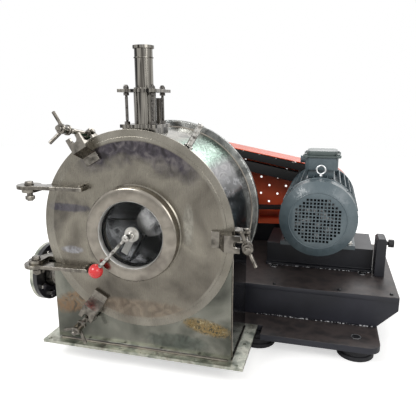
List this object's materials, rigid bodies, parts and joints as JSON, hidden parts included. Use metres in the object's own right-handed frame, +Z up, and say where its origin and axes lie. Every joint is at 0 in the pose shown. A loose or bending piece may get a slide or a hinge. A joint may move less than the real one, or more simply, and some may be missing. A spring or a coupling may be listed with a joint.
{
  "type": "horizontal screen centrifuge",
  "caption": "Horizontal belt-driven centrifuge: drum housing with a hinged round door, sight glass and swing clamps over a bottom flange, motor and belt guard on a black base.",
  "frame": {"origin": "centre of the discharge flange's bolt pattern, on the flange's underside", "axes": "+Z up, +X from the drum towards the motor, +Y back from the door along the drum's axis"},
  "size_m": [1.475, 1.3678, 1.223],
  "materials": {
    "mirror_steel": "polished stainless",
    "flange_steel": "satin stainless",
    "feed_steel": "polished stainless",
    "fastener_steel": "bright stainless",
    "clamp_steel": "satin stainless",
    "door_steel": "brushed stainless",
    "ring_steel": "turned stainless",
    "drum_steel": "satin stainless",
    "shaft_steel": "turned",
    "base_paint": "black satin paint",
    "foot_rubber": "matte",
    "motor_paint": "blue-grey enamel",
    "guard_paint": "orange-red enamel",
    "outlet_paint": "black paint",
    "belt_rubber": "matte",
    "seal_rubber": "matte",
    "ball_plastic": "gloss",
    "fan_plastic": "matte",
    "pulley_iron": "machined",
    "glass": "clear"
  },
  "bodies": {
    "machine": {"discharge_flange": "flange_steel", "housing_front": "mirror_steel", "housing_shell": "mirror_steel", "housing_back": "mirror_steel", "feed_base": "feed_steel", "feed_tube": "feed_steel", "tie_rods": "fastener_steel", "vent_cone": "feed_steel", "guide_post": "fastener_steel", "outlet_pipe": "feed_steel", "outlet_flange": "outlet_paint", "outlet_cover": "flange_steel", "outlet_bolts": "fastener_steel", "hinge_brackets": "clamp_steel", "hinge_pins": "clamp_steel", "clamp_lugs": "clamp_steel", "bearing_housing": "base_paint", "bearing_pedestal": "base_paint", "base_frame": "base_paint", "sole_plate": "base_paint", "feet": "foot_rubber", "motor_slide": "base_paint", "slide_post": "base_paint", "jack_screw": "fastener_steel", "motor_frame": "motor_paint", "fan_cowl": "motor_paint", "terminal_box": "motor_paint", "terminal_lid": "motor_paint", "eyebolt": "motor_paint", "drive_belts": "belt_rubber", "belt_guard": "guard_paint", "guard_feet": "guard_paint"},
    "door": {"door_disc": "door_steel", "sight_ring": "ring_steel", "sight_glass": "glass", "glass_seal": "seal_rubber", "door_arms": "clamp_steel", "clamp_forks": "clamp_steel"},
    "wiper": {"wiper_spindle": "fastener_steel", "wiper_ball": "ball_plastic", "wiper_blade": "seal_rubber"},
    "drum": {"drum_basket": "drum_steel", "drum_scroll": "drum_steel", "drum_shaft": "shaft_steel", "drum_pulley": "pulley_iron"},
    "motor_rotor": {"motor_fan": "fan_plastic", "motor_shaft": "shaft_steel", "motor_pulley": "pulley_iron"},
    "clamp_1": {"clamp_bolt_1": "clamp_steel", "wing_nut_1": "clamp_steel"},
    "clamp_2": {"clamp_bolt_2": "clamp_steel", "wing_nut_2": "clamp_steel"},
    "clamp_3": {"clamp_bolt_3": "clamp_steel", "wing_nut_3": "clamp_steel"}
  },
  "joints": [
    {"name": "door_hinge", "type": "hinge", "parent": "machine", "child": "door", "pos_m": [-0.414, -0.169, 0.488], "axis": [0, 0, -1], "range_deg": [0, 110]},
    {"name": "wiper_turn", "type": "hinge", "parent": "door", "child": "wiper", "pos_m": [0, -0.149, 0.488], "axis": [0, -1, 0], "continuous": true},
    {"name": "clamp_swing_1", "type": "hinge", "parent": "machine", "child": "clamp_1", "pos_m": [0.4, -0.089, 0.488], "axis": [0, 0, 1], "range_deg": [-12.5, 40]},
    {"name": "clamp_swing_2", "type": "hinge", "parent": "machine", "child": "clamp_2", "pos_m": [-0.2, -0.089, 0.83441], "axis": [-0.866, 0, -0.5], "range_deg": [-12.5, 40]},
    {"name": "clamp_swing_3", "type": "hinge", "parent": "machine", "child": "clamp_3", "pos_m": [-0.2, -0.1533, 0.14159], "axis": [0.866, 0, -0.5], "range_deg": [-26, 25]},
    {"name": "drum_turn", "type": "hinge", "parent": "machine", "child": "drum", "pos_m": [0, 0, 0.488], "axis": [0, 1, 0], "continuous": true},
    {"name": "motor_turn", "type": "hinge", "parent": "machine", "child": "motor_rotor", "pos_m": [0.635, 0, 0.442], "axis": [0, 1, 0], "continuous": true}
  ],
  "couplings": [
    {"joint": "motor_turn", "follows": "drum_turn", "ratio": 2}
  ]
}
